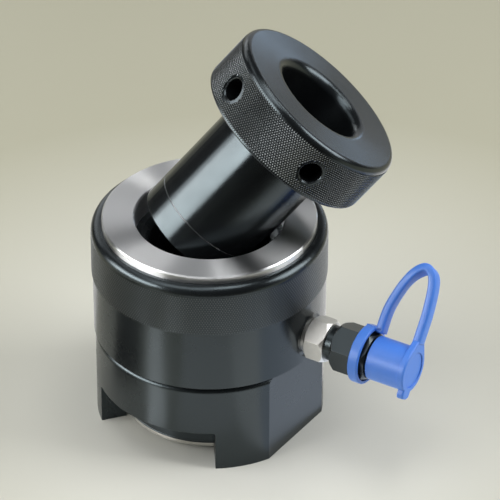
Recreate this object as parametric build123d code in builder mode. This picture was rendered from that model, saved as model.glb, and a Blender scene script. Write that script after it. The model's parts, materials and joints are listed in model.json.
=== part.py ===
"""Hydraulic bolt tensioner with a loose puller, in millimetres.

+Z is up, the origin is on the tool's axis in the plane of the bridge's feet, and +X runs along the
quick coupling. One STEP file per piece goes to parts/.
"""

import os
from math import cos, radians, sin, sqrt

from build123d import *

# Standard parts that the tool is made for.
stud_radius = 24.0
stud_thread_radius = 21.3
nut_across_flats = 75.0
nut_height = 38.0

# Clearances.
running_gap = 0.05
swivel_gap = 0.3
rest_gap = 0.3

# Puller.
shank_radius = 34.3
shank_length = 83.8
head_radius = 56.3
head_height = 33.5
head_edge_radius = 3.5
puller_bore_radius = 27.0
lip_radius = 5.4
thread_length = 52.0
line_distance = 16.5
line_depth = 0.3
tommy_hole_radius = 6.5
tommy_hole_depth = 22.0
tommy_hole_drop = 18.7
tommy_hole_count = 5
tommy_chamfer = 0.8
lean_angle = 40.4
lean_turn = 35.8
puller_drop = 11.3

# Bridge.
bridge_radius = 68.4
bridge_height = 57.9
bridge_edge_radius = 3.0
feet_bore_radius = 53.0
roof_thickness = 8.0
flat_distance = 62.3
window_height = 26.0
window_half_angle = 37.5
window_corner_radius = 2.0
bridge_turn = -4.0
bore_clearance = 1.7
spigot_radius = 43.0
spigot_height = 6.0

# Nut socket.
socket_radius = 52.4
socket_bottom = 3.3
socket_top_gap = 0.6
nut_clearance = 0.5
stud_clearance = 2.0
nut_pocket_spare = 3.0
socket_hole_radius = 6.0
socket_hole_height = 18.5
socket_hole_count = 6
socket_turn = -7.5
socket_edge_radius = 2.5
socket_line_height = 7.5

# Wire rings that hold the load cell on the bridge and the socket in it.
wire = 1.6
wire_bite = 1.0

# Load cell body, its rim a wall round the piston's ring.
rim_wall = 6.5
knurl_rise = 0.7
knurl_bottom = 98.5
knurl_top = 126.0
crown_radius = 5.0
seam_height = 1.0
seam_depth = 7.0
band_chamfer = 0.6
cylinder_radius = 58.0
cylinder_floor = 70.0
shoulder_height = 111.7
ledge_height = 120.6
ledge_width = 3.75
lead_in_height = 2.6

# Piston.
ring_radius = 63.5
ring_bore_radius = 44.3
ring_height = 135.3
ring_clearance = 0.3
ring_chamfer = 0.8
stroke = 12.0
nose_relief_height = 8.0
nose_relief_depth = 3.0

# Seals and rings of the piston.
seal_height = 3.0
backup_height = 1.5
seal_depth = 3.5
seal_bottom = 80.5
guide_height = 5.0
guide_bottom = 87.0
guide_depth = 2.0
stop_height = 2.0
stop_drop = 2.7
stop_bite = 1.2
wiper_height = 3.0
wiper_drop = 3.0
wiper_depth = 1.2

# Quick coupling, along +X.
port_height = 74.0
oil_hole_radius = 2.5
port_thread_radius = 6.6
port_thread_depth = 8.0
spot_face_radius = 13.2
washer_thickness = 2.0
washer_radius = 10.3
adapter_across_flats = 24.0
adapter_hex_length = 13.3
adapter_stub_length = 13.5
hex_turn = 38.0
neck_radius = 10.6
neck_length = 5.5
coupling_across_flats = 27.0
coupling_hex_length = 23.0
nose_radius = 9.8
nose_length = 20.5
lock_groove_start = 4.0
lock_groove_width = 3.5
lock_groove_depth = 0.9
nose_chamfer = 1.0

# Check valve inside the coupling.
guide_disc_thickness = 2.0
guide_boss_radius = 3.2
guide_boss_length = 4.0
guide_slot_radius = 1.1
chamber_radius = 5.8
tip_bore_radius = 3.9
tip_bore_length = 8.0
seat_thickness = 2.0
poppet_radius = 5.2
poppet_head_length = 3.5
poppet_cone_length = 3.3
poppet_nose_radius = 3.3
poppet_nose_recess = 1.2
stem_radius = 2.0
stem_bore_clearance = 0.1
poppet_travel = 3.0
spring_wire = 0.9
spring_radius = 4.4
spring_coils = 5

# Dust cap, its ring and its strap.
strap_ring_width = 6.3
strap_ring_thickness = 2.0
strap_ring_start = 14.5
cap_radius = 13.3
cap_disc_radius = 13.8
cap_disc_thickness = 4.0
cap_gap = 1.2
cap_length = 25.2
cap_wall = 3.0
rim_width = 3.0
rim_height = 0.6
tab_width = 9.5
tab_reach = 18.0
strap_turn = 34.0
strap_width = 8.5
strap_thickness = 4.2
strap_end_gap = 0.3
loop_height = 58.6

# Sizes that follow from the ones above.
knurl_radius = ring_radius + rim_wall
band_radius = knurl_radius - knurl_rise
bore_radius = shank_radius + bore_clearance
roof_bottom = bridge_height - roof_thickness
sleeve_radius = ring_bore_radius - running_gap
body_bottom = bridge_height + swivel_gap
body_top = knurl_top + crown_radius
recess_radius = spigot_radius + swivel_gap
recess_top = bridge_height + spigot_height + 2 * swivel_gap
socket_top = roof_bottom - socket_top_gap
nut_pocket_radius = nut_across_flats / 2 + nut_clearance
nut_pocket_top = socket_bottom + nut_height + nut_pocket_spare
skirt_radius = cylinder_radius - 2 * running_gap
piston_bottom = cylinder_floor + rest_gap
ring_underside = shoulder_height + rest_gap
stop_top = shoulder_height - stop_drop
wiper_top = body_top - wiper_drop
undercut_bottom = stop_top - stop_height - stroke
undercut_radius = cylinder_radius - stop_bite - rest_gap
spot_face = sqrt(band_radius**2 - spot_face_radius**2)
adapter_start = spot_face + washer_thickness
adapter_end = adapter_start + adapter_hex_length
stub_end = adapter_end + adapter_stub_length
hex_start = adapter_end + neck_length
hex_end = hex_start + coupling_hex_length
nose_end = hex_end + nose_length
chamber_end = nose_end - tip_bore_length
cap_start = hex_end + cap_gap
cap_end = cap_start + cap_length
guide_end = stub_end + guide_disc_thickness
poppet_cone_start = chamber_end - poppet_cone_length
poppet_back = poppet_cone_start - poppet_head_length
strap_start = hex_start + strap_ring_start
hex_corner_radius = coupling_across_flats / sqrt(3)
strap_ring_radius = hex_corner_radius + running_gap + strap_ring_thickness

# Planes and axes that pieces are built on.
tool_axis = Axis.Z
coupling_axis = Axis((0, 0, port_height), (1, 0, 0))
coupling_section = Plane(origin=(0, 0, port_height), x_dir=(1, 0, 0), z_dir=(0, -1, 0))


def coupling_plane(x):
    """The plane across the coupling's axis at x."""
    return Plane.YZ.offset(x).shift_origin(Vector(x, 0, port_height))


def ring_profile(inner, outer, bottom, top):
    """The half section of a plain ring round the tool's axis."""
    with Locations(((inner + outer) / 2, (bottom + top) / 2)):
        Rectangle(outer - inner, top - bottom)


os.makedirs("parts", exist_ok=True)

# Bridge: a ring with a roof and a spigot, two windows between its feet, and two flats beside them.
swivel_wire_bottom = bridge_height + spigot_height / 2 - wire / 2
socket_wire_bottom = (window_height + roof_bottom) / 2 + 2 * wire

with BuildPart() as bridge:
    with BuildSketch(Plane.XZ):
        with BuildLine():
            Polyline(
                (feet_bore_radius, 0),
                (bridge_radius, 0),
                (bridge_radius, bridge_height - bridge_edge_radius),
            )
            RadiusArc(
                (bridge_radius, bridge_height - bridge_edge_radius),
                (bridge_radius - bridge_edge_radius, bridge_height),
                -bridge_edge_radius,
            )
            Polyline(
                (bridge_radius - bridge_edge_radius, bridge_height),
                (spigot_radius, bridge_height),
                (spigot_radius, bridge_height + spigot_height),
                (bore_radius, bridge_height + spigot_height),
                (bore_radius, roof_bottom),
                (feet_bore_radius, roof_bottom),
                (feet_bore_radius, 0),
            )
        make_face()
    revolve(axis=tool_axis)
    with BuildSketch(Plane.XZ):
        ring_profile(
            spigot_radius - wire_bite, spigot_radius + wire, swivel_wire_bottom, swivel_wire_bottom + wire
        )
        ring_profile(
            feet_bore_radius - wire, feet_bore_radius + wire_bite, socket_wire_bottom, socket_wire_bottom + wire
        )
    revolve(axis=tool_axis, mode=Mode.SUBTRACT)
    with BuildSketch(Plane.XY):
        with PolarLocations(0, 2, start_angle=bridge_turn):
            with Locations((flat_distance + bridge_radius / 2, 0)):
                Rectangle(bridge_radius, 2 * bridge_radius)
    extrude(amount=bridge_height, mode=Mode.SUBTRACT)
    spread = radians(window_half_angle)
    reach = 2 * bridge_radius
    for window_turn in (bridge_turn - 90, bridge_turn + 90):
        with BuildSketch(Plane.XY.rotated((0, 0, window_turn))):
            with BuildLine():
                Polyline(
                    (0, 0),
                    (reach * cos(spread), -reach * sin(spread)),
                    (reach * cos(spread), reach * sin(spread)),
                    (0, 0),
                )
            make_face()
        extrude(amount=window_height, mode=Mode.SUBTRACT)
    window_corners = bridge.edges().filter_by(GeomType.LINE).filter_by_position(
        Axis.Z, window_height - 0.01, window_height + 0.01
    )
    fillet(window_corners, window_corner_radius)
bridge.part.label = "bridge"
export_step(bridge.part, "parts/bridge.step")

# Wire rings: one in the spigot's groove under the load cell, one in the bridge's bore round the socket.
with BuildPart() as swivel_ring:
    with BuildSketch(Plane.XZ):
        ring_profile(
            spigot_radius - wire_bite, spigot_radius + wire_bite, swivel_wire_bottom, swivel_wire_bottom + wire
        )
    revolve(axis=tool_axis)
swivel_ring.part.label = "swivel_ring"
export_step(swivel_ring.part, "parts/swivel_ring.step")

with BuildPart() as socket_ring:
    with BuildSketch(Plane.XZ):
        ring_profile(
            socket_radius - wire_bite, feet_bore_radius + wire_bite, socket_wire_bottom, socket_wire_bottom + wire
        )
    revolve(axis=tool_axis)
socket_ring.part.label = "socket_ring"
export_step(socket_ring.part, "parts/socket_ring.step")

# Nut socket: a hexagon pocket for the nut, a hole for the stud, holes for a tommy bar and a bare rim.
groove_radius = socket_radius - wire_bite - rest_gap
pocket_corner_radius = nut_pocket_radius / cos(radians(30))

with BuildPart() as nut_socket:
    with BuildSketch(Plane.XZ):
        with BuildLine():
            Polyline(
                (stud_radius + stud_clearance, socket_bottom),
                (socket_radius - socket_edge_radius, socket_bottom),
            )
            RadiusArc(
                (socket_radius - socket_edge_radius, socket_bottom),
                (socket_radius, socket_bottom + socket_edge_radius),
                -socket_edge_radius,
            )
            Polyline(
                (socket_radius, socket_bottom + socket_edge_radius),
                (socket_radius, socket_line_height),
                (socket_radius - line_depth, socket_line_height + line_depth),
                (socket_radius, socket_line_height + 2 * line_depth),
                (socket_radius, socket_wire_bottom - rest_gap),
                (groove_radius, socket_wire_bottom - rest_gap),
                (groove_radius, socket_wire_bottom + wire + rest_gap),
                (socket_radius, socket_wire_bottom + wire + rest_gap),
                (socket_radius, socket_top),
                (stud_radius + stud_clearance, socket_top),
                (stud_radius + stud_clearance, socket_bottom),
            )
        make_face()
    revolve(axis=tool_axis)
    with BuildSketch(Plane.XY.offset(socket_bottom)):
        RegularPolygon(nut_pocket_radius, 6, major_radius=False, rotation=socket_turn)
    extrude(amount=nut_pocket_top - socket_bottom, mode=Mode.SUBTRACT)
    with BuildSketch(Plane.XZ):
        with BuildLine():
            Polyline(
                (0, socket_bottom),
                (pocket_corner_radius + line_depth, socket_bottom),
                (0, socket_bottom + pocket_corner_radius / 2),
                (0, socket_bottom),
            )
        make_face()
    revolve(axis=tool_axis, mode=Mode.SUBTRACT)
    for turn in range(socket_hole_count):
        hole_angle = radians(socket_turn + 30 + turn * 360 / socket_hole_count)
        outward = (cos(hole_angle), sin(hole_angle), 0)
        with BuildSketch(Plane(origin=(0, 0, socket_hole_height), z_dir=outward)):
            Circle(socket_hole_radius)
        extrude(amount=bridge_radius, mode=Mode.SUBTRACT)
nut_socket.part.label = "nut_socket"
export_step(nut_socket.part, "parts/nut_socket.step")

# Load cell body: outer wall, floor and inner sleeve round the piston's chamber, with the oil port.
with BuildPart() as load_cell_body:
    with BuildSketch(Plane.XZ):
        with BuildLine():
            Polyline(
                (recess_radius, body_bottom),
                (band_radius - seam_depth, body_bottom),
                (band_radius - seam_depth, bridge_height + seam_height),
                (band_radius - band_chamfer, bridge_height + seam_height),
                (band_radius, bridge_height + seam_height + band_chamfer),
                (band_radius, knurl_bottom),
                (knurl_radius, knurl_bottom),
                (knurl_radius, knurl_top),
            )
            RadiusArc((knurl_radius, knurl_top), (knurl_radius - crown_radius, body_top), -crown_radius)
            Polyline(
                (knurl_radius - crown_radius, body_top),
                (ring_radius + ring_clearance, body_top),
                (ring_radius + ring_clearance, shoulder_height),
                (cylinder_radius, shoulder_height),
                (cylinder_radius, cylinder_floor),
                (sleeve_radius, cylinder_floor),
                (sleeve_radius, ledge_height),
                (sleeve_radius - ledge_width, ledge_height),
                (bore_radius, ledge_height - lead_in_height),
                (bore_radius, recess_top),
                (recess_radius, recess_top),
                (recess_radius, body_bottom),
            )
        make_face()
    revolve(axis=tool_axis)
    with BuildSketch(Plane.XZ):
        ring_profile(
            recess_radius - wire,
            spigot_radius + wire_bite + rest_gap,
            swivel_wire_bottom - rest_gap,
            swivel_wire_bottom + wire + rest_gap,
        )
        ring_profile(cylinder_radius - stop_bite, cylinder_radius + stop_bite, stop_top - stop_height, stop_top)
        ring_profile(
            ring_radius, ring_radius + ring_clearance + wiper_depth, wiper_top - wiper_height, wiper_top
        )
    revolve(axis=tool_axis, mode=Mode.SUBTRACT)
    with BuildSketch(coupling_plane(spot_face)):
        Circle(spot_face_radius)
    extrude(amount=knurl_radius, mode=Mode.SUBTRACT)
    with BuildSketch(coupling_plane(spot_face)):
        Circle(port_thread_radius)
    extrude(amount=-port_thread_depth, mode=Mode.SUBTRACT)
    with BuildSketch(coupling_plane(spot_face)):
        Circle(oil_hole_radius)
    extrude(amount=-(spot_face - cylinder_radius + oil_hole_radius), mode=Mode.SUBTRACT)
load_cell_body.part.label = "load_cell_body"
export_step(load_cell_body.part, "parts/load_cell_body.step")

# Stroke ring and wiper ring, both held in the body's wall.
with BuildPart() as stroke_ring:
    with BuildSketch(Plane.XZ):
        ring_profile(cylinder_radius - stop_bite, cylinder_radius + stop_bite, stop_top - stop_height, stop_top)
    revolve(axis=tool_axis)
stroke_ring.part.label = "stroke_ring"
export_step(stroke_ring.part, "parts/stroke_ring.step")

with BuildPart() as wiper_ring:
    with BuildSketch(Plane.XZ):
        ring_profile(
            ring_radius + running_gap,
            ring_radius + ring_clearance + wiper_depth,
            wiper_top - wiper_height,
            wiper_top,
        )
    revolve(axis=tool_axis)
wiper_ring.part.label = "wiper_ring"
export_step(wiper_ring.part, "parts/wiper_ring.step")

# Piston: the bright ring at the top, its skirt in the cylinder, and the grooves that its seals lie in.
seal_top = seal_bottom + seal_height + backup_height

with BuildPart() as piston:
    with BuildSketch(Plane.XZ):
        with BuildLine():
            Polyline(
                (ring_bore_radius, piston_bottom),
                (skirt_radius - nose_relief_depth, piston_bottom),
                (skirt_radius - nose_relief_depth, piston_bottom + nose_relief_height),
                (skirt_radius, piston_bottom + nose_relief_height),
                (skirt_radius, undercut_bottom),
                (undercut_radius, undercut_bottom),
                (undercut_radius, ring_underside),
                (ring_radius, ring_underside),
                (ring_radius, ring_height - ring_chamfer),
                (ring_radius - ring_chamfer, ring_height),
                (ring_bore_radius + ring_chamfer, ring_height),
                (ring_bore_radius, ring_height - ring_chamfer),
                (ring_bore_radius, piston_bottom),
            )
        make_face()
    revolve(axis=tool_axis)
    with BuildSketch(Plane.XZ):
        ring_profile(skirt_radius - seal_depth, cylinder_radius, seal_bottom, seal_top)
        ring_profile(sleeve_radius, ring_bore_radius + seal_depth, seal_bottom, seal_top)
        ring_profile(skirt_radius - guide_depth, cylinder_radius, guide_bottom, guide_bottom + guide_height)
    revolve(axis=tool_axis, mode=Mode.SUBTRACT)
piston.part.label = "piston"
export_step(piston.part, "parts/piston.step")

# Seals, backup rings and guide ring, each in its groove and a running gap from the wall it slides on.
piston_rings = {
    "outer_seal": (skirt_radius - seal_depth, cylinder_radius - running_gap, seal_bottom, seal_height),
    "outer_backup_ring": (
        skirt_radius - seal_depth,
        cylinder_radius - running_gap,
        seal_bottom + seal_height,
        backup_height,
    ),
    "inner_seal": (sleeve_radius + running_gap, ring_bore_radius + seal_depth, seal_bottom, seal_height),
    "inner_backup_ring": (
        sleeve_radius + running_gap,
        ring_bore_radius + seal_depth,
        seal_bottom + seal_height,
        backup_height,
    ),
    "guide_ring": (skirt_radius - guide_depth, cylinder_radius - running_gap, guide_bottom, guide_height),
}
for ring_name, (inner, outer, bottom, height) in piston_rings.items():
    with BuildPart() as piston_ring:
        with BuildSketch(Plane.XZ):
            ring_profile(inner, outer, bottom, bottom + height)
        revolve(axis=tool_axis)
    piston_ring.part.label = ring_name
    export_step(piston_ring.part, f"parts/{ring_name}.step")

# Puller: it leans in the bore, its shank a rest gap off the edge of the piston's bore.
lean = radians(lean_angle)
lean_direction = Vector(cos(radians(lean_turn)), sin(radians(lean_turn)), 0)
puller_direction = lean_direction * sin(lean) + Vector(0, 0, cos(lean))
puller_side = Vector(0, 0, sin(lean)) - lean_direction * cos(lean)
shank_reach = ring_bore_radius - (shank_radius + rest_gap + puller_drop * sin(lean)) / cos(lean)
puller_end = lean_direction * shank_reach + Vector(0, 0, ring_height - puller_drop)
puller_section = Plane(origin=puller_end, x_dir=puller_side, z_dir=puller_side.cross(puller_direction))
puller_axis = Axis(puller_end, puller_direction)
head_top = shank_length + head_height

with BuildPart() as puller:
    with BuildSketch(puller_section):
        with BuildLine():
            Polyline(
                (stud_thread_radius + tommy_chamfer, 0),
                (shank_radius - tommy_chamfer, 0),
                (shank_radius, tommy_chamfer),
                (shank_radius, line_distance - line_depth),
                (shank_radius - line_depth, line_distance),
                (shank_radius, line_distance + line_depth),
                (shank_radius, shank_length),
                (head_radius - tommy_chamfer, shank_length),
                (head_radius, shank_length + tommy_chamfer),
                (head_radius, head_top - head_edge_radius),
            )
            RadiusArc(
                (head_radius, head_top - head_edge_radius),
                (head_radius - head_edge_radius, head_top),
                -head_edge_radius,
            )
            Line((head_radius - head_edge_radius, head_top), (puller_bore_radius + lip_radius, head_top))
            RadiusArc(
                (puller_bore_radius + lip_radius, head_top),
                (puller_bore_radius, head_top - lip_radius),
                -lip_radius,
            )
            Polyline(
                (puller_bore_radius, head_top - lip_radius),
                (puller_bore_radius, thread_length + puller_bore_radius - stud_thread_radius),
                (stud_thread_radius, thread_length),
                (stud_thread_radius, tommy_chamfer),
                (stud_thread_radius + tommy_chamfer, 0),
            )
        make_face()
    revolve(axis=puller_axis)
    hole_centre = puller_end + puller_direction * (head_top - tommy_hole_drop)
    first_hole = puller_direction.cross(puller_side)
    for turn in range(tommy_hole_count):
        outward = first_hole.rotate(Axis((0, 0, 0), puller_direction), turn * 360 / tommy_hole_count)
        hole_bottom = hole_centre + outward * (head_radius - tommy_hole_depth)
        with BuildSketch(Plane(origin=hole_bottom, z_dir=outward)):
            Circle(tommy_hole_radius)
        extrude(amount=tommy_hole_depth + tommy_hole_radius, mode=Mode.SUBTRACT)
        with BuildSketch(Plane(origin=hole_centre + outward * head_radius, z_dir=outward)):
            Circle(tommy_hole_radius + tommy_chamfer)
        extrude(amount=-2 * tommy_chamfer, taper=45, mode=Mode.SUBTRACT)
puller.part.label = "puller"
export_step(puller.part, "parts/puller.step")


def across_coupling(inner, outer, start, end):
    """The half section of a plain ring round the coupling's axis."""
    with Locations(((start + end) / 2, (inner + outer) / 2)):
        Rectangle(end - start, outer - inner)


# Port washer, between the body's spot face and the hex adapter.
with BuildPart() as port_washer:
    with BuildSketch(coupling_section):
        across_coupling(port_thread_radius + running_gap, washer_radius, spot_face, adapter_start)
    revolve(axis=coupling_axis)
port_washer.part.label = "port_washer"
export_step(port_washer.part, "parts/port_washer.step")

# Hex adapter: a chamfered hexagon with a threaded end into the body and one into the coupling.
adapter_corner = adapter_across_flats / sqrt(3)
adapter_flat = adapter_across_flats / 2
adapter_cone = (adapter_corner - adapter_flat) * 1.2
port_stub_start = spot_face - port_thread_depth + rest_gap
stub_radius = port_thread_radius - running_gap

with BuildPart() as hex_adapter:
    with BuildSketch(coupling_plane(adapter_start)):
        RegularPolygon(adapter_flat, 6, major_radius=False, rotation=hex_turn)
    extrude(amount=adapter_hex_length)
    with BuildSketch(coupling_section):
        with BuildLine():
            Polyline(
                (adapter_start, 0),
                (adapter_start, adapter_flat - adapter_cone / 2),
                (adapter_start + adapter_cone, adapter_corner),
                (adapter_end - adapter_cone, adapter_corner),
                (adapter_end, adapter_flat),
                (adapter_end, 0),
                (adapter_start, 0),
            )
        make_face()
    revolve(axis=coupling_axis, mode=Mode.INTERSECT)
    with BuildSketch(coupling_section):
        across_coupling(0, stub_radius, port_stub_start, stub_end)
    revolve(axis=coupling_axis)
    with BuildSketch(coupling_section):
        across_coupling(0, oil_hole_radius, port_stub_start, stub_end)
    revolve(axis=coupling_axis, mode=Mode.SUBTRACT)
hex_adapter.part.label = "hex_adapter"
export_step(hex_adapter.part, "parts/hex_adapter.step")

# Coupling body: neck, hexagon and nose with the groove that the mating coupling locks in.
coupling_flat = coupling_across_flats / 2
coupling_cone = (hex_corner_radius - coupling_flat) * 1.2
adapter_seal_radius = stub_radius + running_gap + washer_thickness
lock_start = hex_end + lock_groove_start

with BuildPart() as coupling_body:
    with BuildSketch(coupling_plane(hex_start)):
        RegularPolygon(coupling_flat, 6, major_radius=False, rotation=hex_turn)
    extrude(amount=coupling_hex_length)
    with BuildSketch(coupling_section):
        with BuildLine():
            Polyline(
                (hex_start, 0),
                (hex_start, coupling_flat),
                (hex_start + coupling_cone, hex_corner_radius),
                (hex_end - coupling_cone, hex_corner_radius),
                (hex_end, coupling_flat),
                (hex_end, 0),
                (hex_start, 0),
            )
        make_face()
    revolve(axis=coupling_axis, mode=Mode.INTERSECT)
    with BuildSketch(coupling_section):
        across_coupling(0, neck_radius, adapter_end, hex_start)
        with BuildLine():
            Polyline(
                (hex_end, 0),
                (hex_end, nose_radius),
                (lock_start, nose_radius),
                (lock_start + lock_groove_depth, nose_radius - lock_groove_depth),
                (lock_start + lock_groove_width - lock_groove_depth, nose_radius - lock_groove_depth),
                (lock_start + lock_groove_width, nose_radius),
                (nose_end - nose_chamfer, nose_radius),
                (nose_end, nose_radius - nose_chamfer),
                (nose_end, 0),
                (hex_end, 0),
            )
        make_face()
    revolve(axis=coupling_axis)
    with BuildSketch(coupling_section):
        with BuildLine():
            Polyline(
                (adapter_end, 0),
                (adapter_end, adapter_seal_radius),
                (adapter_end + washer_thickness, adapter_seal_radius),
                (adapter_end + washer_thickness, port_thread_radius),
                (guide_end, port_thread_radius),
                (guide_end, chamber_radius),
                (chamber_end, chamber_radius),
                (chamber_end, tip_bore_radius),
                (nose_end, tip_bore_radius),
                (nose_end, 0),
                (adapter_end, 0),
            )
        make_face()
    revolve(axis=coupling_axis, mode=Mode.SUBTRACT)
coupling_body.part.label = "coupling_body"
export_step(coupling_body.part, "parts/coupling_body.step")

# Adapter seal, in the neck's counterbore round the adapter's thread.
with BuildPart() as adapter_seal:
    with BuildSketch(coupling_section):
        across_coupling(
            port_thread_radius, adapter_seal_radius, adapter_end, adapter_end + washer_thickness
        )
    revolve(axis=coupling_axis)
adapter_seal.part.label = "adapter_seal"
export_step(adapter_seal.part, "parts/adapter_seal.step")

# Poppet guide: a disc with oil slots round a boss that the poppet's stem slides in.
boss_end = guide_end + guide_boss_length
slot_circle = (guide_boss_radius + chamber_radius) / 2

with BuildPart() as poppet_guide:
    with BuildSketch(coupling_section):
        across_coupling(0, stub_radius, stub_end, guide_end)
        across_coupling(0, guide_boss_radius, guide_end, boss_end)
    revolve(axis=coupling_axis)
    with BuildSketch(coupling_section):
        across_coupling(0, stem_radius + stem_bore_clearance, stub_end, boss_end)
    revolve(axis=coupling_axis, mode=Mode.SUBTRACT)
    with BuildSketch(coupling_plane(stub_end)):
        with PolarLocations(slot_circle, 4):
            Circle(guide_slot_radius)
    extrude(amount=guide_disc_thickness, mode=Mode.SUBTRACT)
poppet_guide.part.label = "poppet_guide"
export_step(poppet_guide.part, "parts/poppet_guide.step")

# Poppet: stem, head and cone in one, its nose just inside the tip of the coupling.
stem_start = guide_end - guide_disc_thickness + poppet_travel + rest_gap

with BuildPart() as poppet:
    with BuildSketch(coupling_section):
        with BuildLine():
            Polyline(
                (stem_start, 0),
                (stem_start, stem_radius),
                (poppet_back, stem_radius),
                (poppet_back, poppet_radius),
                (poppet_cone_start, poppet_radius),
                (chamber_end, poppet_nose_radius),
                (nose_end - poppet_nose_recess, poppet_nose_radius),
                (nose_end - poppet_nose_recess, 0),
                (stem_start, 0),
            )
        make_face()
    revolve(axis=coupling_axis)
poppet.part.label = "poppet"
export_step(poppet.part, "parts/poppet.step")

# Poppet seal: the seat ring at the end of the chamber, bored to the poppet's cone.
cone_slope = (poppet_radius - poppet_nose_radius) / poppet_cone_length
seat_start = chamber_end - seat_thickness
seat_mouth = poppet_nose_radius + cone_slope * seat_thickness + 3 * running_gap

with BuildPart() as poppet_seal:
    with BuildSketch(coupling_section):
        with BuildLine():
            Polyline(
                (seat_start, seat_mouth),
                (seat_start, chamber_radius),
                (chamber_end, chamber_radius),
                (chamber_end, tip_bore_radius),
                (seat_start, seat_mouth),
            )
        make_face()
    revolve(axis=coupling_axis)
poppet_seal.part.label = "poppet_seal"
export_step(poppet_seal.part, "parts/poppet_seal.step")

# Poppet spring, between the guide and the back of the poppet's head.
spring_start = guide_end + spring_wire / 2 + running_gap
spring_height = poppet_back - spring_wire - 2 * running_gap - guide_end
spring_plane = Plane(origin=(spring_start, 0, port_height), x_dir=(0, 1, 0), z_dir=(1, 0, 0))

with BuildPart() as poppet_spring:
    with BuildLine():
        spring_path = Helix(
            pitch=spring_height / spring_coils,
            height=spring_height,
            radius=spring_radius,
            center=spring_plane.origin,
            direction=(1, 0, 0),
        )
    with BuildSketch(Plane(origin=spring_path @ 0, z_dir=spring_path % 0)):
        RegularPolygon(spring_wire / 2, 6)
    sweep(path=spring_path, is_frenet=True)
poppet_spring.part.label = "poppet_spring"
export_step(poppet_spring.part, "parts/poppet_spring.step")

# Strap ring, gripping the corners of the coupling's hexagon, with a lug that carries the strap's foot.
ring_end = strap_start + strap_ring_width
lug_end = ring_end + strap_thickness
ring_inside = hex_corner_radius + running_gap
strap_plane = Plane(
    origin=(0, 0, port_height),
    x_dir=(1, 0, 0),
    z_dir=(0, -cos(radians(strap_turn)), sin(radians(strap_turn))),
)

with BuildPart() as strap_ring:
    with BuildSketch(coupling_section):
        across_coupling(ring_inside, strap_ring_radius, strap_start, ring_end)
    revolve(axis=coupling_axis)
    chamfer(strap_ring.edges().filter_by(GeomType.CIRCLE).sort_by(SortBy.RADIUS)[-2:], strap_ring_thickness / 4)
    with BuildSketch(strap_plane):
        across_coupling(ring_inside + strap_ring_thickness / 4, strap_ring_radius, strap_start, lug_end)
    extrude(amount=strap_width / 2, both=True)
strap_ring.part.label = "strap_ring"
export_step(strap_ring.part, "parts/strap_ring.step")

# Dust cap: a hollow plug over the nose, its end a disc drawn out to the strap's root, with a pull tab.
cap_inside = cap_radius - cap_wall
disc_start = cap_end - cap_disc_thickness
root_reach = strap_ring_radius - strap_end_gap
disc_plane = Plane(
    origin=(disc_start, 0, port_height),
    x_dir=(0, cos(radians(strap_turn)), -sin(radians(strap_turn))),
    z_dir=(1, 0, 0),
)

with BuildPart() as dust_cap:
    with BuildSketch(disc_plane) as disc_outline:
        Circle(cap_disc_radius)
        with Locations((0, root_reach / 2)):
            Rectangle(strap_width, root_reach)
        make_hull()
        with Locations((0, -tab_reach / 2)):
            Rectangle(tab_width, tab_reach)
        fillet(disc_outline.vertices().sort_by(Axis.Y)[:2], tab_width / 3)
    extrude(amount=cap_disc_thickness)
    fillet(dust_cap.faces().sort_by(Axis.X)[-1].edges(), cap_disc_thickness / 4)
    with BuildSketch(coupling_section):
        across_coupling(0, cap_disc_radius - rim_width, cap_end - rim_height, cap_end)
    revolve(axis=coupling_axis, mode=Mode.SUBTRACT)
    with BuildSketch(coupling_section):
        across_coupling(cap_inside, cap_radius, cap_start, disc_start)
    revolve(axis=coupling_axis)
dust_cap.part.label = "dust_cap"
export_step(dust_cap.part, "parts/dust_cap.step")

# Cap strap: a thick band in a loop, from the ring's lug up and over to the cap's end.
loop_foot = strap_ring_radius + strap_end_gap
loop_left = lug_end - strap_thickness / 2
loop_right = (disc_start + cap_end) / 2
loop_rise = loop_height - loop_foot
loop_span = loop_right - loop_left
loop_shape = [(0.05, 0.38), (0.22, 0.69), (0.42, 0.89), (0.67, 1), (0.87, 0.94), (0.965, 0.75), (1.005, 0.42)]

with BuildPart() as cap_strap:
    with BuildSketch(strap_plane):
        with BuildLine() as strap_line:
            Spline(
                (loop_left, loop_foot),
                *[(loop_left + along * loop_span, loop_foot + up * loop_rise) for along, up in loop_shape],
                (loop_right, root_reach + strap_end_gap),
                tangents=((0, 1), (0, -1)),
            )
        trace(strap_line.line, strap_thickness)
    extrude(amount=strap_width / 2, both=True)
cap_strap.part.label = "cap_strap"
export_step(cap_strap.part, "parts/cap_strap.step")
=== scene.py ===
"""Looks of the hydraulic bolt tensioner with its loose puller, in metres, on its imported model."""

import json
from math import atan2, cos, exp, hypot, pi, radians, sin, tan

import bpy
from mathutils import Matrix, Vector


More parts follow.
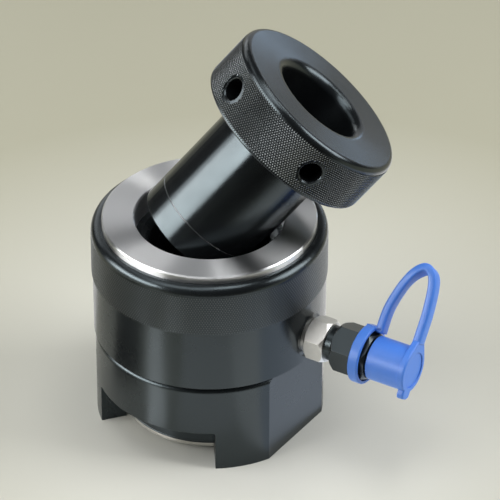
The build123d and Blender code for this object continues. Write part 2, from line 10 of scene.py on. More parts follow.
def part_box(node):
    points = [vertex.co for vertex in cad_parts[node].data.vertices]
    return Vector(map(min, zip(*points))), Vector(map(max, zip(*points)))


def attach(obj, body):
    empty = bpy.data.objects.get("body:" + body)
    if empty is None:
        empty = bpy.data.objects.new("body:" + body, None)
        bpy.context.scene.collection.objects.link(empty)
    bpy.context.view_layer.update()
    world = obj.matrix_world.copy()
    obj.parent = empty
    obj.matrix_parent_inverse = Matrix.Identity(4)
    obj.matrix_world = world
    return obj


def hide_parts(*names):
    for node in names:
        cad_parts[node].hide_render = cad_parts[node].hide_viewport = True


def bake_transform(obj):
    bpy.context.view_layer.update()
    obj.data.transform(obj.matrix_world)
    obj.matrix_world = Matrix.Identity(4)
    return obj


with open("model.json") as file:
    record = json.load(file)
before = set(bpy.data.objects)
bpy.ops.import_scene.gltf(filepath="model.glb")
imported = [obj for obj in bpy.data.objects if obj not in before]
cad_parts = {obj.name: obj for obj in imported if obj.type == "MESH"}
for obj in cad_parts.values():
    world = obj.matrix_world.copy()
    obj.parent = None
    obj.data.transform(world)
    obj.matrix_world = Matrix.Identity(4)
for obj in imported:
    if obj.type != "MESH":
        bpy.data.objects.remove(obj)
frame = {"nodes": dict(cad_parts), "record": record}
nodes = frame["nodes"]
mounts = {mount["name"]: mount for mount in frame["record"]["mounts"]}
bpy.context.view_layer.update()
studio = bpy.context.scene
mm = 0.001

# Camera: a long lens on a stand, above the coupling's left side, looking down at the middle of the tool.
# Its place, aim and slight roll are those that bring the tool's rings and edges onto the photograph's.
camera_place = Vector((0.99822, -1.66131, 1.46444))
camera_target = Vector((0.02062, 0.01206, 0.11050))
camera_roll = radians(0.16)
sensor_width = 36
lens = 288
sees_as_far_as = 20
camera = bpy.data.objects.new("camera", bpy.data.cameras.new("camera"))
studio.collection.objects.link(camera)
camera.data.sensor_width = sensor_width
camera.data.lens = lens
camera.data.clip_end = sees_as_far_as
camera.location = camera_place
sight = (camera_target - camera_place).to_track_quat("-Z", "Y").to_matrix().to_4x4()
camera.rotation_euler = (sight @ Matrix.Rotation(camera_roll, 4, "Z")).to_euler()
studio.camera = camera

# Floor: matt paper with a pool of light painted into its colour round the tool, paler there than further out,
# and a little cool light from all round. From here on, places in the studio are given as the camera's stand
# sees them: right, away, up.
studio.view_settings.view_transform = "Standard"
camera_turn = radians(31)


def from_camera(right, away, up):
    """A point in the frame, given as the camera's stand sees it."""
    return Matrix.Rotation(camera_turn, 3, "Z") @ Vector((right, away, up))


def add_node(material, kind, inputs=None, **settings):
    """A shader node, its inputs set to values or linked to other nodes' outputs."""
    made = material.node_tree.nodes.new(kind)
    for setting, value in settings.items():
        setattr(made, setting, value)
    for socket, value in (inputs or {}).items():
        if isinstance(value, bpy.types.NodeSocket):
            material.node_tree.links.new(value, made.inputs[socket])
        else:
            made.inputs[socket].default_value = value
    return made


def vector_math(material, operation, first, second, result="Vector"):
    """What one vector operation makes of two vectors."""
    inputs = {0: first, 1: second}
    return add_node(material, "ShaderNodeVectorMath", inputs, operation=operation).outputs[result]


def number_math(material, operation, first, second=0.0):
    """What one operation makes of two numbers."""
    return add_node(material, "ShaderNodeMath", {0: first, 1: second}, operation=operation).outputs["Value"]


def new_finish(name, colour, metallic=0.0, roughness=0.5, **constants):
    """A material with one shader, the shader, and where on the object each point lies."""
    made = bpy.data.materials.new(name)
    made.use_nodes = True
    shader = made.node_tree.nodes["Principled BSDF"]
    shader.inputs["Base Color"].default_value = (*colour, 1)
    shader.inputs["Metallic"].default_value = metallic
    shader.inputs["Roughness"].default_value = roughness
    for socket, value in constants.items():
        shader.inputs[socket.replace("_", " ")].default_value = value
    where = add_node(made, "ShaderNodeTexCoord").outputs["Object"]
    return made, shader, where


def join(material, source, target):
    """Links one socket to another."""
    material.node_tree.links.new(source, target)


def spread(material, value, low, high, start=0.0, end=1.0):
    """Maps a value from start to end onto low to high."""
    inputs = {"Value": value, "From Min": start, "From Max": end, "To Min": low, "To Max": high}
    return add_node(material, "ShaderNodeMapRange", inputs).outputs["Result"]


def blend_colours(material, amount, first, second):
    """One colour turning into another with the amount."""
    mixer = add_node(material, "ShaderNodeMix", data_type="RGBA")
    for socket, value in ((mixer.inputs[0], amount), (mixer.inputs[6], first), (mixer.inputs[7], second)):
        if isinstance(value, bpy.types.NodeSocket):
            join(material, value, socket)
        else:
            socket.default_value = value if isinstance(value, float) else (*value, 1)
    return mixer.outputs[2]


def noise(material, where, scale, detail=3.0, roughness=0.5):
    """Cloudy variation, with features about one over the scale, in metres."""
    inputs = {"Vector": where, "Scale": scale, "Detail": detail, "Roughness": roughness}
    return add_node(material, "ShaderNodeTexNoise", inputs).outputs["Fac"]


def mesh_piece(name, points, faces, material, smooth=True):
    """A new object from points in metres and faces."""
    mesh = bpy.data.meshes.new(name)
    mesh.from_pydata([tuple(point) for point in points], [], faces)
    mesh.materials.append(material)
    for face in mesh.polygons:
        face.use_smooth = smooth
    piece = bpy.data.objects.new(name, mesh)
    studio.collection.objects.link(piece)
    return piece


floor_reach = 12.0
far_dark, far_light = (0.45, 0.44, 0.34), (0.47, 0.46, 0.36)
# Paper colours inside the painted pool of light round the tool, paler than the plain paper further out.
painted_pool_dark, painted_pool_light = (0.72, 0.72, 0.66), (0.74, 0.74, 0.68)
painted_pool_middle = from_camera(0.03, -0.02, 0)
painted_pool_radius = 0.05
painted_pool_ends = 0.34
matt = 0.7
paper_cloud_scale = 6.0
paper, paper_shader, paper_where = new_finish("floor_paper", painted_pool_dark, 0.0, matt, Specular_IOR_Level=0.0)
paper_tone = noise(paper, paper_where, paper_cloud_scale, 4.0)
far_paper = blend_colours(paper, paper_tone, far_dark, far_light)
painted_pool_paper = blend_colours(paper, paper_tone, painted_pool_dark, painted_pool_light)
# Painted pool of light: the paper's colour is painted paler near the tool and fades to the plain paper
# further out.
from_painted_pool = vector_math(paper, "DISTANCE", paper_where, painted_pool_middle, "Value")
in_painted_pool = spread(paper, from_painted_pool, 1.0, 0.0, painted_pool_radius, painted_pool_ends)
join(paper, blend_colours(paper, in_painted_pool, far_paper, painted_pool_paper), paper_shader.inputs["Base Color"])
around_floor = ((-1, -1), (1, -1), (1, 1), (-1, 1))
floor_corners = [(floor_reach * right, floor_reach * away, 0) for right, away in around_floor]
floor = mesh_piece("floor", floor_corners, [(0, 1, 2, 3)], paper)

surround_colour = (0.92, 0.96, 1.0, 1)
surround_brightness = 0.06
surround = bpy.data.worlds.new("surround")
surround.use_nodes = True
surround.node_tree.nodes["Background"].inputs["Color"].default_value = surround_colour
surround.node_tree.nodes["Background"].inputs["Strength"].default_value = surround_brightness
studio.world = surround


# Lamps: soft boxes to the left, behind and to the right of the tool, and five more hung level overhead.
# Each row has a name, a place, a size and how bright the box is all over.
tool_middle = Vector((0, 0, 0.15))
standing_boxes = [
    ("soft_box_left_near", (-1.225, -0.626, 0.6), (0.65, 0.9), 3.8),
    ("soft_box_left_far", (-1.375, 0.006, 0.6), (0.65, 0.9), 4.0),
    ("soft_box_back", (0.5, 2.0, 0.5), (3.4, 1.0), 0.46),
    ("soft_box_back_left", (-0.85, 1.8, 1.0), (1.6, 0.9), 1.14),
    ("soft_box_right", (1.6, -0.1, 1.1), (1.1, 1.1), 7.2),
]
overhead_height = 1.6
overhead_boxes = [
    ("overhead_near_middle", (-0.17, -0.4), (0.34, 0.8), 2.5),
    ("overhead_near_left", (-0.7, -0.4), (0.7, 0.8), 2.5),
    ("overhead_left", (-0.7, 0.4), (0.7, 0.8), 1.0),
    ("overhead_far_left", (-0.7, 1.2), (0.7, 0.8), 0.65),
    ("overhead_right", (0.25, 0.0), (0.45, 0.8), 4.8),
]


def soft_box(name, place, aim, size, brightness):
    """A rectangular light that faces the aim, as bright all over as the number says."""
    lamp = bpy.data.lights.new(name, "AREA")
    lamp.shape = "RECTANGLE"
    lamp.size, lamp.size_y = size
    lamp.energy = pi * size[0] * size[1] * brightness
    holder = bpy.data.objects.new(name, lamp)
    holder.location = place
    holder.rotation_euler = (aim - place).to_track_quat("-Z", "Y").to_euler()
    studio.collection.objects.link(holder)
    return holder


for name, place, size, brightness in standing_boxes:
    soft_box(name, from_camera(*place), tool_middle, size, brightness)

for name, place, size, brightness in overhead_boxes:
    under = from_camera(*place, 0)
    lamp = soft_box(name, under + Vector((0, 0, overhead_height)), under, size, brightness)
    lamp.rotation_euler = (0, 0, camera_turn)

# Cards: boards that only polished surfaces see. Those on the floor give the black walls and the ring pale
# and dark patches to mirror, and those in the air draw the highlights on the rims and the puller's head.
card_white = (1, 0.99, 0.97, 1)
card_mild = (0.9, 0.98, 1.12, 1)
card_cool = (0.74, 0.96, 1.24, 1)


def card(name, corners, brightness, colour):
    """A card that only polished surfaces see, as bright as the number says."""
    board, board_shader, _ = new_finish(name, (0.0, 0.0, 0.0), 0.0, 1.0, Specular_IOR_Level=0.0)
    board_shader.inputs["Emission Color"].default_value = colour
    board_shader.inputs["Emission Strength"].default_value = brightness
    made = mesh_piece(name, [from_camera(*corner) for corner in corners], [tuple(range(len(corners)))], board)
    for seen_by in ("visible_camera", "visible_diffuse", "visible_transmission", "visible_shadow"):
        setattr(made, seen_by, False)


top_layer, middle_layer, low_layer = 0.6 * mm, 0.5 * mm, 0.4 * mm
floor_cards = [
    ("black_card", top_layer, 0.0, card_white,
     [(-0.115, -0.085), (-0.115, -0.012), (-0.3, 0.0), (-0.3, -0.14)]),
    ("far_black_card", top_layer, 0.0, card_white,
     [(-0.35, -0.33), (0.35, -0.33), (0.9, -1.5), (-0.9, -1.5)]),
    ("white_card", middle_layer, 2.44, card_white,
     [(-0.062, -0.068), (-0.05, -0.088), (-0.15, -0.17), (-0.18, -0.13)]),
    ("front_card", low_layer, 1.1, card_white,
     [(-0.045, -0.1), (0.035, -0.103), (0.08, -0.28), (-0.11, -0.28)]),
    ("front_right_card", low_layer, 1.4, card_white,
     [(0.036, -0.103), (0.041, -0.066), (0.201, -0.21), (0.081, -0.28)]),
    ("right_card", middle_layer, 1.02, card_mild,
     [(0.04, -0.066), (0.2, -0.21), (0.33, 0.06), (0.078, 0.0)]),
    ("right_back_card", low_layer, 1.25, card_white,
     [(0.08, 0.005), (0.33, 0.065), (0.25, 0.4), (0.04, 0.3)]),
    ("left_back_card", low_layer, 1.07, card_white,
     [(-0.045, 0.085), (-0.08, 0.055), (-0.3, 0.2), (-0.12, 0.38)]),
]
for name, height, brightness, colour, corners in floor_cards:
    card(name, [(right, away, height) for right, away in corners], brightness, colour)

air_cards = [
    ("left_flag", 0.0, card_white,
     [(-0.74, 0.95, 0.02), (-1.02, 0.64, 0.02), (-1.02, 0.64, 0.48), (-0.74, 0.95, 0.48)]),
    ("rim_card", 8.0, card_white,
     [(0.969, 0.085, 1.207), (0.625, 0.745, 1.207), (0.529, 0.63, 1.333), (0.82, 0.072, 1.333)]),
    ("head_left_card", 2.2, card_cool,
     [(0.69, 1.6, 0.107), (0.85, 1.6, 0.107), (0.85, 1.6, 0.315), (0.69, 1.6, 0.315)]),
    ("head_right_card", 2.2, card_cool,
     [(1.07, 1.6, 0.17), (1.27, 1.6, 0.17), (1.27, 1.6, 0.34), (1.07, 1.6, 0.34)]),
    ("strip_card", 13.5, card_white,
     [(-0.896, 0.078, 0.28), (-0.647, -0.625, 0.28), (-0.647, -0.625, 0.5), (-0.896, 0.078, 0.5)]),
]
for name, brightness, colour, corners in air_cards:
    card(name, corners, brightness, colour)

# Bridge: a turned steel ring with feet, milled windows and flats. It is blackened in a hot bath and oiled,
# and the coating is thin on its edges, where the steel shows through.
coating_light = (0.0085, 0.0095, 0.0105)
coating_dark = (0.0035, 0.004, 0.0045)
bare_edge = (0.30, 0.31, 0.32)
oil_tint = (0.77, 0.93, 1.0, 1)
oil_ior = 1.6
across_marks = 0.25
cloud_scale = 22.0
grain_scale = 2400.0
grain_strength = 0.35
grain_depth = 0.02 * mm
patch_scale = 130.0
patch_least = 0.1
patch_starts, patch_ends = 0.35, 0.65
edge_starts, edge_ends = 0.97, 0.72
glossier, duller = 0.05, 0.07
cloud_starts, cloud_ends = 0.25, 0.75


def bumped(material, shader, height, strength, depth, under=None):
    """Gives a shader a relief of this strength and depth, over the normals given, if any are."""
    inputs = {"Height": height, "Strength": strength, "Distance": depth}
    if under:
        inputs["Normal"] = under
    relief = add_node(material, "ShaderNodeBump", inputs)
    join(material, relief.outputs["Normal"], shader.inputs["Normal"])
    return relief


def turned_round(material, where, origin, axis):
    """The way that turning marks run at each point: round the axis."""
    reach = vector_math(material, "SUBTRACT", where, origin)
    onward = vector_math(material, "CROSS_PRODUCT", axis, reach)
    turned_too = add_node(
        material, "ShaderNodeVectorTransform", {"Vector": onward}, vector_type="VECTOR",
        convert_from="OBJECT", convert_to="WORLD",
    )
    return turned_too.outputs["Vector"]


def black_oxide(name, roughness=0.3, edge=0.35, wear=0.55, origin=(0, 0, 0), axis=(0, 0, 1), marks=0.9):
    """Blackened steel: cloudy coating, fine turning marks, softened and lightly worn edges."""
    steel, shader, where = new_finish(
        name, coating_dark, 0.0, roughness, IOR=oil_ior, Specular_Tint=oil_tint, Anisotropic=marks,
        Anisotropic_Rotation=across_marks,
    )
    join(steel, turned_round(steel, where, origin, axis), shader.inputs["Tangent"])
    clouds = noise(steel, where, cloud_scale, 5.0, 0.6)
    fine = noise(steel, where, grain_scale, 2.0)
    softened = add_node(steel, "ShaderNodeBevel", {"Radius": edge * mm}, samples=4).outputs["Normal"]
    facing = add_node(steel, "ShaderNodeNewGeometry").outputs["Normal"]
    match = vector_math(steel, "DOT_PRODUCT", softened, facing, "Value")
    at_edge = spread(steel, match, 1.0, 0.0, edge_ends, edge_starts)
    patch_noise = noise(steel, where, patch_scale, 4.0)
    patches = spread(steel, patch_noise, patch_least, 1.0, patch_starts, patch_ends)
    rubbed = number_math(steel, "MULTIPLY", number_math(steel, "MULTIPLY", at_edge, patches), wear)
    coating = blend_colours(steel, clouds, coating_dark, coating_light)
    join(steel, blend_colours(steel, rubbed, coating, bare_edge), shader.inputs["Base Color"])
    join(steel, rubbed, shader.inputs["Metallic"])
    dulled = spread(steel, clouds, roughness - glossier, roughness + duller, cloud_starts, cloud_ends)
    join(steel, dulled, shader.inputs["Roughness"])
    bumped(steel, shader, fine, grain_strength, grain_depth, softened)
    return steel


def dress(name, material):
    """Gives a piece its finish in place of the plain one."""
    shown = nodes[name]
    shown.data.materials.clear()
    shown.data.materials.append(material)


dress("bridge", black_oxide("bridge_black_oxide", 0.27, 0.5, marks=0.5))

# Nut socket: turned from the same steel and blackened, but its foot is faced bright after the bath. It
# turns the nut through the hexagon inside and is itself turned with a bar in its holes.
socket_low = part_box("nut_socket")[0][2]
bright_foot = 3.6 * mm
coating_fades = 0.2 * mm
faced_steel = (0.54, 0.52, 0.48)
socket_steel = black_oxide("socket_black_oxide", 0.33, 0.4)
socket_shader = socket_steel.node_tree.nodes["Principled BSDF"]
socket_where = add_node(socket_steel, "ShaderNodeTexCoord").outputs["Object"]
socket_height = add_node(socket_steel, "ShaderNodeSeparateXYZ", {"Vector": socket_where}).outputs["Z"]
bright_top = socket_low + bright_foot
is_bright = spread(socket_steel, socket_height, 1.0, 0.0, bright_top, bright_top + coating_fades)
coated = socket_shader.inputs["Base Color"].links[0].from_socket
socket_colour = blend_colours(socket_steel, is_bright, coated, faced_steel)
join(socket_steel, socket_colour, socket_shader.inputs["Base Color"])
join(socket_steel, is_bright, socket_shader.inputs["Metallic"])
dress("nut_socket", socket_steel)

# Wire rings: drawn spring steel, one under the load cell on the bridge's spigot, one round the socket,
# and the stroke ring that stops the piston. They are sprung into their grooves and hardly show.
wire_dark, wire_light = (0.34, 0.34, 0.35), (0.46, 0.46, 0.47)
wire_smooth, wire_rough = 0.24, 0.38
wire_mark_scale = 900.0
drawn_wire, drawn_shader, drawn_where = new_finish("drawn_wire", wire_light, 1.0, wire_smooth)
drawn_marks = noise(drawn_wire, drawn_where, wire_mark_scale, 2.0)
join(drawn_wire, spread(drawn_wire, drawn_marks, wire_smooth, wire_rough), drawn_shader.inputs["Roughness"])
wire_colour = blend_colours(drawn_wire, drawn_marks, wire_dark, wire_light)
join(drawn_wire, wire_colour, drawn_shader.inputs["Base Color"])
for name in ("swivel_ring", "socket_ring", "stroke_ring"):
    dress(name, drawn_wire)

# Load cell body: a turned steel cylinder, blackened and oiled, with a rounded top edge. The band below
# that edge is rolled with the same diamonds as the puller's head, but flatter, and reads as a dull stripe.
dress("load_cell_body", black_oxide("body_black_oxide", 0.26, 0.35, marks=0.5))
body_radius = 70.0 * mm
body_knurl_low = 98.7 * mm
body_knurl_high = 125.8 * mm
body_knurl_height = 0.13 * mm
body_points_bare = 0.2
knurl_step = 0.78 * mm
knurl_slant = radians(30)
knurl_rise = 0.01 * mm
groove_dark = (0.001, 0.001, 0.001)
bare_point = (0.4, 0.415, 0.43)
bare_starts, bare_ends = 0.45, 0.75
groove_cloud_scale = 26.0
groove_grain_scale = 3500.0
groove_grain_strength = 0.5
groove_glossier, groove_duller = 0.05, 0.08
plain_steps = 1.2
edge_steps = 0.4
open_steps = 0.95
near_hole = 0.5


def knurl_finish(name, roughness, bare):
    """Blackened knurl, its points rubbed bare by so much."""
    steel, shader, where = new_finish(name, coating_dark, 0.0, roughness, IOR=oil_ior, Specular_Tint=oil_tint)
    clouds = noise(steel, where, groove_cloud_scale, 4.0)
    grain = noise(steel, where, groove_grain_scale, 2.0)
    point = add_node(steel, "ShaderNodeAttribute", attribute_name="point").outputs["Fac"]
    rubbed = spread(steel, point, 0.0, bare, bare_starts, bare_ends)
    groove = blend_colours(steel, clouds, groove_dark, coating_dark)
    join(steel, blend_colours(steel, rubbed, groove, bare_point), shader.inputs["Base Color"])
    join(steel, rubbed, shader.inputs["Metallic"])
    dulled = spread(steel, clouds, roughness - groove_glossier, roughness + groove_duller)
    join(steel, dulled, shader.inputs["Roughness"])
    bumped(steel, shader, grain, groove_grain_strength, grain_depth)
    return steel


def beside_holes(angle, along, radius, lift, step, holes, hole_radius):
    """Where a point of the knurl goes near a hole: flat round it, onto its rim, or cut away (lift -1)."""
    place = along
    for hole_angle, hole_along in holes:
        turn = (angle - hole_angle + pi) % (2 * pi) - pi
        if abs(turn) > near_hole:
            continue
        sideways, lengthways = radius * sin(turn), along - hole_along
        reach = hypot(sideways, lengthways)
        if reach < hole_radius + plain_steps * step:
            lift = 0.0
        if reach < hole_radius - open_steps * step:
            lift = -1.0
        elif reach < hole_radius + edge_steps * step:
            angle = hole_angle + sideways * hole_radius / reach / radius
            place = hole_along + lengthways * hole_radius / reach
    return angle, place, lift


def knurled_sleeve(name, origin, axis, side, radius, low, high, height, material, holes=(), hole_radius=0.0):
    """Rows of rolled diamonds round an axis, twice as many columns as teeth, left plain round each hole."""
    axis = axis.normalized()
    side = (side - axis * side.dot(axis)).normalized()
    across = axis.cross(side)
    columns = 2 * round(pi * radius / knurl_step)
    step = 2 * pi * radius / columns
    rows = round((high - low) * tan(knurl_slant) / step)
    points, lifts = [], []
    for row in range(rows + 1):
        along = low + (high - low) * row / rows
        for column in range(columns):
            lift = height if (row + column) % 2 and 0 < row < rows else 0.0
            angle = 2 * pi * column / columns
            angle, place, lift = beside_holes(angle, along, radius, lift, step, holes, hole_radius)
            lifts.append(lift)
            outward = side * cos(angle) + across * sin(angle)
            points.append(origin + axis * place + outward * (radius + max(lift, 0.0)))
    faces = []
    for row in range(rows):
        for column in range(columns):
            beside = (column + 1) % columns
            a, b = row * columns + column, row * columns + beside
            c, d = (row + 1) * columns + beside, (row + 1) * columns + column
            if min(lifts[a], lifts[b], lifts[c], lifts[d]) < 0:
                continue
            if (row + column) % 2:
                faces += [(a, b, d), (b, c, d)]
            else:
                faces += [(a, b, c), (a, c, d)]
    sleeve = mesh_piece(name, points, faces, material, smooth=False)
    marks = sleeve.data.attributes.new("point", "FLOAT", "POINT")
    marks.data.foreach_set("value", [1.0 if lift > 0 else 0.0 for lift in lifts])
    return sleeve


body_knurl = knurled_sleeve(
    "body_knurl", Vector((0, 0, 0)), Vector((0, 0, 1)), Vector((1, 0, 0)), body_radius + knurl_rise,
    body_knurl_low, body_knurl_high, body_knurl_height,
    knurl_finish("body_knurl_oxide", 0.32, body_points_bare),
)
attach(body_knurl, "load_cell")

# Piston: bare steel, faced and bored in one setting, so fine turning marks run round its top and stretch
# each reflection towards and away from the tool's axis.
turned_dark, turned_light = (0.74, 0.75, 0.76), (0.84, 0.85, 0.86)
turned_smooth, turned_rough = 0.28, 0.34
feed_scale = 4200.0
feed_strength = 0.06
across_axis = (1, 1, 0)
turned, turned_shader, turned_where = new_finish(
    "turned_steel", turned_dark, 1.0, turned_smooth, Anisotropic=1.0, Anisotropic_Rotation=across_marks
)
round_axis = add_node(turned, "ShaderNodeTangent", direction_type="RADIAL", axis="Z").outputs["Tangent"]
join(turned, round_axis, turned_shader.inputs["Tangent"])
flattened = vector_math(turned, "MULTIPLY", turned_where, across_axis)
from_axis = add_node(turned, "ShaderNodeVectorMath", {0: flattened}, operation="LENGTH").outputs["Value"]
turned_high = add_node(turned, "ShaderNodeSeparateXYZ", {"Vector": turned_where}).outputs["Z"]
feed_inputs = {"W": number_math(turned, "ADD", from_axis, turned_high), "Scale": feed_scale, "Detail": 3.0}
feed_marks = add_node(turned, "ShaderNodeTexNoise", feed_inputs, noise_dimensions="1D").outputs["Fac"]
turned_roughness = spread(turned, feed_marks, turned_smooth, turned_rough, 0.3, 0.7)
join(turned, turned_roughness, turned_shader.inputs["Roughness"])
turned_colour = blend_colours(turned, feed_marks, turned_dark, turned_light)
join(turned, turned_colour, turned_shader.inputs["Base Color"])
bumped(turned, turned_shader, feed_marks, feed_strength, grain_depth)
dress("piston", turned)

# Seals and bearing rings: moulded polyurethane and rubber, with machined plastic behind them. Those of
# the piston lie in grooves and are pressed on by the oil, and two small ones keep the coupling tight.
moulded_depth = 0.03 * mm
moulded_varies = 0.06
grain_to_mottle = 5


def moulded(name, dark, light, roughness, scale=500.0, grain=0.3):
    """Moulded or machined plastic or rubber, with a little mottling and a soft grain."""
    stuff, shader, where = new_finish(name, dark, 0.0, roughness)
    mottle = noise(stuff, where, scale, 4.0)
    join(stuff, blend_colours(stuff, mottle, dark, light), shader.inputs["Base Color"])
    sheen = spread(stuff, mottle, roughness - moulded_varies, roughness + moulded_varies)
    join(stuff, sheen, shader.inputs["Roughness"])
    fine = noise(stuff, where, scale * grain_to_mottle, 2.0)
    return stuff, bumped(stuff, shader, fine, grain, moulded_depth)


seal_blue, _ = moulded("seal_polyurethane", (0.05, 0.14, 0.38), (0.07, 0.18, 0.44), 0.4)
backup_white, _ = moulded("backup_plastic", (0.8, 0.79, 0.75), (0.86, 0.85, 0.82), 0.5)
guide_brown, _ = moulded("guide_plastic", (0.26, 0.14, 0.08), (0.34, 0.18, 0.10), 0.55)
rubber_black, _ = moulded("seal_rubber", (0.018, 0.018, 0.018), (0.03, 0.03, 0.03), 0.6)
for name in ("outer_seal", "inner_seal"):
    dress(name, seal_blue)
for name in ("outer_backup_ring", "inner_backup_ring", "poppet_seal"):
    dress(name, backup_white)
dress("guide_ring", guide_brown)
for name in ("wiper_ring", "adapter_seal"):
    dress(name, rubber_black)

# Puller: a turned, blackened steel bolt with a wide knurled head, and a fine line scribed round its shank.
# It is hollow, threaded at the shank end for the stud and bored wider above, with holes for a bar.
puller_axis = Vector(mounts["puller_thread"]["axis"])
thread_middle = Vector(mounts["puller_thread"]["pos_m"])
thread_middle_along = 26.0 * mm
puller_foot = thread_middle - puller_axis * thread_middle_along
scribed_at = 16.5 * mm
scribed_half = 0.22 * mm
scribed_core = 0.7
scribed_steel = (0.3, 0.305, 0.31)
puller_steel = black_oxide("puller_black_oxide", 0.22, 0.4, 0.8, puller_foot, puller_axis, 0.8)
puller_shader = puller_steel.node_tree.nodes["Principled BSDF"]
puller_where = add_node(puller_steel, "ShaderNodeTexCoord").outputs["Object"]
from_foot = vector_math(puller_steel, "SUBTRACT", puller_where, puller_foot)
shank_along = vector_math(puller_steel, "DOT_PRODUCT", from_foot, puller_axis, "Value")
past_line = number_math(puller_steel, "SUBTRACT", shank_along, scribed_at)
off_line = number_math(puller_steel, "ABSOLUTE", past_line)
scribed = spread(puller_steel, off_line, 1.0, 0.0, scribed_core * scribed_half, scribed_half)
coated = puller_shader.inputs["Base Color"].links[0].from_socket
rubbed = puller_shader.inputs["Metallic"].links[0].from_socket
puller_colour = blend_colours(puller_steel, scribed, coated, scribed_steel)
join(puller_steel, puller_colour, puller_shader.inputs["Base Color"])
join(puller_steel, number_math(puller_steel, "MAXIMUM", rubbed, scribed), puller_shader.inputs["Metallic"])
dress("puller", puller_steel)

# Head knurl: sharp diamonds rolled round the puller's head, their points rubbed bright by hands. The band
# is left plain round each of the five holes for the bar.
head_radius = 56.3 * mm
head_knurl_low = 84.9 * mm
head_knurl_high = 113.6 * mm
head_knurl_height = 0.42 * mm
head_points_bare = 1.0
hole_along = 98.6 * mm
hole_rim = 7.6 * mm
hole_count = 5
first_hole = Vector(mounts["puller_tommy_1"]["axis"])
hole_across = puller_axis.cross(first_hole)
tommy_holes = []
for hole in range(hole_count):
    hole_axis = Vector(mounts[f"puller_tommy_{hole + 1}"]["axis"])
    tommy_holes.append((atan2(hole_axis.dot(hole_across), hole_axis.dot(first_hole)), hole_along))
head_knurl = knurled_sleeve(
    "head_knurl", puller_foot, puller_axis, first_hole, head_radius + knurl_rise, head_knurl_low,
    head_knurl_high, head_knurl_height, knurl_finish("head_knurl_oxide", 0.24, head_points_bare), tommy_holes,
    hole_rim,
)
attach(head_knurl, "puller")

# Puller thread: an M48 x 5 thread tapped in the shank's end, which screws onto the stud. It is cut before
# the bath, and its first and last turns run out.
thread_long = mounts["puller_thread"]["dims"]["length_mm"] * mm
thread_radius = mounts["puller_thread"]["dims"]["r_mm"] * mm
thread_pitch = 5.0 * mm
thread_height = 0.6 * mm
crest_half = 0.6 * mm
root_half = 2.1 * mm
root_sunk = 0.05 * mm
thread_sides = 64
run_out = thread_sides // 2
thread_foot = 3.0 * mm
thread_steps = round((thread_long - 2 * thread_foot) / thread_pitch * thread_sides)
points, faces = [], []
for step in range(thread_steps + 1):
    angle = 2 * pi * step / thread_sides
    outward = first_hole * cos(angle) + hole_across * sin(angle)
    middle = puller_foot + puller_axis * (thread_foot + thread_pitch * step / thread_sides)
    rise = thread_height * min(1, step / run_out, (thread_steps - step) / run_out)
    profile = [(-root_half, -root_sunk), (-crest_half, rise), (crest_half, rise), (root_half, -root_sunk)]
    points += [middle + puller_axis * along + outward * (thread_radius - up) for along, up in profile]
    if step:
        low, high = 4 * (step - 1), 4 * step
        faces += [(low + side, high + side, high + side + 1, low + side + 1) for side in range(3)]
puller_thread = mesh_piece("puller_thread", points, faces, puller_steel, smooth=False)
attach(puller_thread, "puller")

# Port washer, hex adapter and poppet: turned steel with a satin zinc plate, the washer with a rubber lip.
# The adapter is screwed into the body's oil port, down onto the washer.
zinc_dark, zinc_light = (0.66, 0.65, 0.61), (0.82, 0.81, 0.78)
zinc_smooth, zinc_rough = 0.4, 0.48
zinc_cloud_scale = 320.0
zinc_strength = 0.02
zinc_depth = 0.05 * mm
zinc_edge = 0.25 * mm
plated, plated_shader, plated_where = new_finish("zinc_plate", zinc_light, 1.0, zinc_smooth)
plate_clouds = noise(plated, plated_where, zinc_cloud_scale, 4.0)
plate_soft = add_node(plated, "ShaderNodeBevel", {"Radius": zinc_edge}, samples=4).outputs["Normal"]
join(plated, spread(plated, plate_clouds, zinc_smooth, zinc_rough), plated_shader.inputs["Roughness"])
plate_colour = blend_colours(plated, plate_clouds, zinc_dark, zinc_light)
join(plated, plate_colour, plated_shader.inputs["Base Color"])
bumped(plated, plated_shader, plate_clouds, zinc_strength, zinc_depth, plate_soft)
for name in ("hex_adapter", "port_washer", "poppet"):
    dress(name, plated)

# Coupling body: turned from hexagon bar, its outside phosphated nearly black. Its nose is the male half of
# a quick coupling, under the dust cap.
coupling_height = mounts["coupling_nose"]["pos_m"][2]
coupling_start = (0, 0, coupling_height)
coupling_axis = (1, 0, 0)
phosphate = black_oxide("coupling_phosphate", 0.3, 0.3, 0.9, coupling_start, coupling_axis, 0.5)
dress("coupling_body", phosphate)

# Valve guide and spring: a brass star behind the poppet, and a coil of round drawn wire that pushes the
# poppet against its seat.
brass_dark, brass_light = (0.66, 0.5, 0.24), (0.76, 0.6, 0.32)
brass_smooth, brass_rough = 0.22, 0.36
brass_mark_scale = 1200.0
brass, brass_shader, brass_where = new_finish("turned_brass", brass_light, 1.0, brass_smooth)
brass_marks = noise(brass, brass_where, brass_mark_scale, 2.0)
join(brass, spread(brass, brass_marks, brass_smooth, brass_rough), brass_shader.inputs["Roughness"])
join(brass, blend_colours(brass, brass_marks, brass_dark, brass_light), brass_shader.inputs["Base Color"])
dress("poppet_guide", brass)

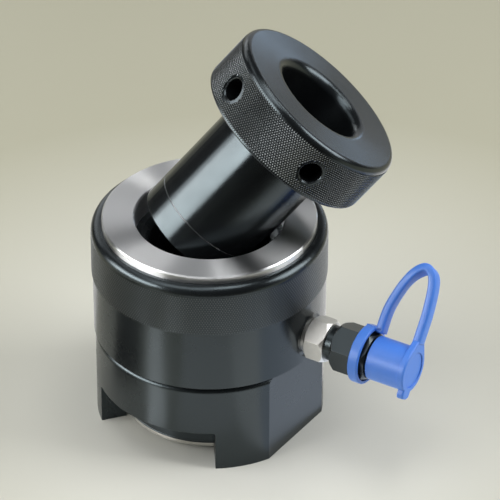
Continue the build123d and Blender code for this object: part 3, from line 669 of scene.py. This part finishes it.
spring_low, spring_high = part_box("poppet_spring")
wire_radius = 0.45 * mm
coil_radius = (spring_high[1] - spring_low[1]) / 2 - wire_radius
spring_start = spring_low[0] + wire_radius
spring_end = spring_high[0] - wire_radius
coils, beads_in_coil, wire_sides = 5, 28, 10
beads = coils * beads_in_coil
along_coupling = Vector(coupling_axis)
points, faces = [], []
for bead in range(beads + 1):
    share = bead / beads
    angle = 2 * pi * coils * share
    outward = Vector((0, cos(angle), sin(angle)))
    centre = Vector((spring_start + (spring_end - spring_start) * share, 0, coupling_height))
    centre += outward * coil_radius
    for side in range(wire_sides):
        around = 2 * pi * side / wire_sides
        points.append(centre + (outward * cos(around) + along_coupling * sin(around)) * wire_radius)
    if bead:
        for side in range(wire_sides):
            beside = (side + 1) % wire_sides
            low, high = (bead - 1) * wire_sides, bead * wire_sides
            faces.append((low + side, low + beside, high + beside, high + side))
faces += [tuple(range(wire_sides)), tuple(range(beads * wire_sides, (beads + 1) * wire_sides))]
spring = mesh_piece("valve_spring", points, faces, drawn_wire)
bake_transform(spring)
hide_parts("poppet_spring")

# Strap ring and dust cap: moulded in one tool with the strap, from soft blue plastic with a dull sheen.
# The ring grips the corners of the hexagon, and the cap is pushed over the nose.
blue_dark, blue_light = (0.06, 0.215, 0.76), (0.075, 0.245, 0.82)
blue_edge = 0.6 * mm
blue, blue_relief = moulded("blue_plastic", blue_dark, blue_light, 0.42, 260.0, 0.25)
blue_soft = add_node(blue, "ShaderNodeBevel", {"Radius": blue_edge}, samples=6).outputs["Normal"]
join(blue, blue_soft, blue_relief.inputs["Normal"])
for name in ("strap_ring", "dust_cap"):
    dress(name, blue)

# Cap strap: a thick soft band that grows out of the ring, loops up and over, and runs into the cap's end.
# It is moulded with them, its corners rounded.
strap_lean = radians(34)
strap_half_width = 4.25 * mm
strap_half_thick = 2.5 * mm
strap_corner = 1.3 * mm
strap_twist = radians(-25)
twist_middle = 0.47
twist_reach = 0.1
steps_between = 10
_, cap_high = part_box("dust_cap")
strap_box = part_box("cap_strap")
foot_half_thick = 2.1 * mm
cap_end_half = 2.0 * mm
loop_left = strap_box[0][0] + foot_half_thick
loop_right = cap_high[0] - cap_end_half
loop_foot = 17.0 * mm
loop_top = 58.6 * mm
loop_shape = [
    (0.0, -0.06), (0.008, 0.2), (0.06, 0.4), (0.22, 0.69), (0.42, 0.89), (0.67, 1.0), (0.87, 0.94),
    (0.965, 0.75), (1.005, 0.42), (1.0, 0.18), (0.99, -0.03),
]
out_of_axis = Vector((0, sin(strap_lean), cos(strap_lean)))
strap_across = Vector((0, -cos(strap_lean), sin(strap_lean)))
stations = []
for along, up in loop_shape:
    reach = loop_foot + up * (loop_top - loop_foot)
    under = Vector((loop_left + along * (loop_right - loop_left), 0, coupling_height))
    stations.append(under + out_of_axis * reach)


def through(stations, steps):
    """A smooth line through the stations, with so many steps between each two."""
    ends = [2 * stations[0] - stations[1]] + stations + [2 * stations[-1] - stations[-2]]
    smooth = []
    for place in range(1, len(ends) - 2):
        before, first, second, after = ends[place - 1 : place + 3]
        for step in range(steps):
            share = step / steps
            bend = 2 * before - 5 * first + 4 * second - after
            twist = 3 * first - before - 3 * second + after
            smooth.append(first + 0.5 * ((second - before) * share + bend * share**2 + twist * share**3))
    return smooth + [stations[-1]]


def rounded_section(half_width, half_height, corner, segments=4):
    """The outline of a band with rounded corners."""
    outline = []
    for quarter in range(4):
        wide = (half_width - corner) * (1 if quarter in (0, 3) else -1)
        high = (half_height - corner) * (1 if quarter < 2 else -1)
        for step in range(segments + 1):
            angle = pi / 2 * (quarter + step / segments)
            outline.append((wide + corner * cos(angle), high + corner * sin(angle)))
    return outline


strap_path = through(stations, steps_between)
last = len(strap_path) - 1
section = rounded_section(strap_half_width, strap_half_thick, strap_corner)
points, faces = [], []
for station, centre in enumerate(strap_path):
    ahead = strap_path[min(station + 1, last)] - strap_path[max(station - 1, 0)]
    off_middle = (station / last - twist_middle) / twist_reach
    across = Matrix.Rotation(strap_twist * exp(-off_middle**2), 3, ahead) @ strap_across
    thick_way = ahead.normalized().cross(across)
    points += [centre + across * wide + thick_way * high for wide, high in section]
    if station:
        low, high = (station - 1) * len(section), station * len(section)
        for corner in range(len(section)):
            beside = (corner + 1) % len(section)
            faces.append((low + corner, low + beside, high + beside, high + corner))
faces += [tuple(range(len(section)))[::-1], tuple(range(len(points) - len(section), len(points)))]
strap = mesh_piece("moulded_strap", points, faces, blue)
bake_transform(strap)
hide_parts("cap_strap")
